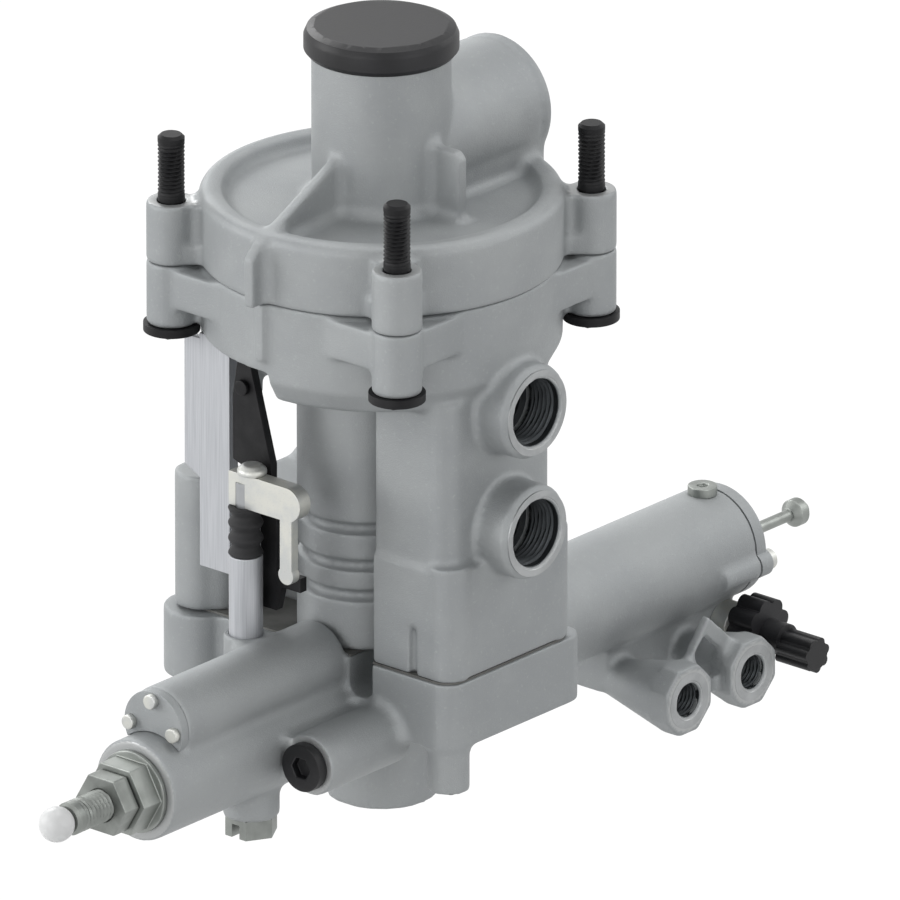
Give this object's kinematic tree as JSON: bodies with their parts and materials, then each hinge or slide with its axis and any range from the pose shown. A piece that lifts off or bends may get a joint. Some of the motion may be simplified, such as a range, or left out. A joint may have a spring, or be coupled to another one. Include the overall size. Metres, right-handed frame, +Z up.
{
  "type": "air brake load sensing relay valve",
  "caption": "Cast air brake load sensing relay valve with studs, side ports, sideways control cylinder and outside linkage.",
  "frame": {"origin": "centre of the exhaust opening in the bottom boss, on the main axis", "axes": "+Z up the main axis to the mounting studs, +X out of the two large side ports, +Y along the control cylinder"},
  "size_m": [0.1204, 0.3424, 0.2437],
  "materials": {
    "cast_body": "fine blasted casting, dull",
    "turned_aluminium": "turned, satin",
    "rail_aluminium": "drawn profile, satin",
    "zinc_steel": "zinc plated, satin",
    "bright_steel": "ground, bright",
    "spring_steel": "drawn wire, oiled",
    "black_steel": "black coated steel",
    "brass_turned": "turned, satin",
    "black_plastic": "moulded black plastic, slight sheen",
    "clear_plastic": "milky moulded plastic",
    "gasket": "pressed fibre sheet",
    "rubber": "moulded black rubber"
  },
  "bodies": {
    "valve": {"main_body": "cast_body", "top_cover": "cast_body", "base_housing": "cast_body", "control_cylinder": "cast_body", "end_cap": "cast_body", "upper_plate": "cast_body", "dust_cap": "black_plastic", "side_plug": "black_plastic", "test_caps": "black_plastic", "mounting_studs": "black_steel", "stud_nuts": "black_steel", "plunger_boot": "rubber", "diaphragm": "rubber", "pilot_seat": "turned_aluminium", "pin_guide": "brass_turned", "pilot_spring": "spring_steel", "valve_spring": "spring_steel", "control_spring": "spring_steel", "test_spring": "spring_steel", "base_gasket": "gasket", "base_screws": "zinc_steel", "exhaust_screen": "zinc_steel", "drain_plug": "zinc_steel", "adjuster_bush": "turned_aluminium", "lock_nut": "zinc_steel", "end_cap_screws": "zinc_steel", "upper_plate_screws": "zinc_steel", "air_filter": "brass_turned", "guide_rail": "rail_aluminium", "rail_screw": "zinc_steel", "lever_pin": "zinc_steel", "plunger_bush": "rail_aluminium", "bleed_screw": "zinc_steel", "test_coupling": "zinc_steel"},
    "control": {"control_rod": "bright_steel", "spring_plate": "bright_steel", "control_piston": "turned_aluminium", "piston_seal": "rubber"},
    "tappet": {"tappet": "bright_steel"},
    "bracket": {"cross_bracket": "zinc_steel", "bracket_screw": "zinc_steel", "plunger": "bright_steel"},
    "lever": {"hanging_lever": "black_steel"},
    "piston": {"relay_piston": "turned_aluminium"},
    "inlet": {"inlet_valve": "brass_turned"},
    "test_pin": {"test_pin": "bright_steel"},
    "adjuster": {"adjusting_screw": "zinc_steel", "tip_ball": "clear_plastic"}
  },
  "joints": [
    {"name": "control_slide", "type": "slide", "parent": "valve", "child": "control", "axis": [0, -1, 0], "range_m": [0, 0.012], "stiffness_N_per_m": 2000, "deforming": ["control_spring"]},
    {"name": "tappet_slide", "type": "slide", "parent": "valve", "child": "tappet", "axis": [0, 0, 1], "range_m": [0, 0.005]},
    {"name": "bracket_slide", "type": "slide", "parent": "valve", "child": "bracket", "axis": [0, 0, 1], "range_m": [0, 0.005], "deforming": ["plunger_boot"]},
    {"name": "lever_hinge", "type": "hinge", "parent": "valve", "child": "lever", "pos_m": [-0.017, -0.0406, 0.135], "axis": [0, -1, 0], "range_deg": [0, 6.1]},
    {"name": "piston_slide", "type": "slide", "parent": "valve", "child": "piston", "axis": [0, 0, -1], "range_m": [0, 0.004], "stiffness_N_per_m": 1500},
    {"name": "inlet_slide", "type": "slide", "parent": "valve", "child": "inlet", "axis": [0, 0, -1], "range_m": [0, 0.0041], "deforming": ["valve_spring"]},
    {"name": "test_pin_slide", "type": "slide", "parent": "valve", "child": "test_pin", "axis": [0, -1, 0], "range_m": [0, 0.006], "stiffness_N_per_m": 800, "deforming": ["test_spring"]},
    {"name": "adjuster_turn", "type": "hinge", "parent": "valve", "child": "adjuster", "pos_m": [0, -0.13, 0.0332], "axis": [0, 1, 0], "range_deg": [-180, 180]}
  ],
  "couplings": [
    {"joint": "tappet_slide", "follows": "control_slide", "ratio": 0.4},
    {"joint": "bracket_slide", "follows": "control_slide", "ratio": 0.4},
    {"joint": "lever_hinge", "follows": "control_slide", "rad_per_m": 8.7266},
    {"joint": "inlet_slide", "follows": "piston_slide", "ratio": 1}
  ]
}
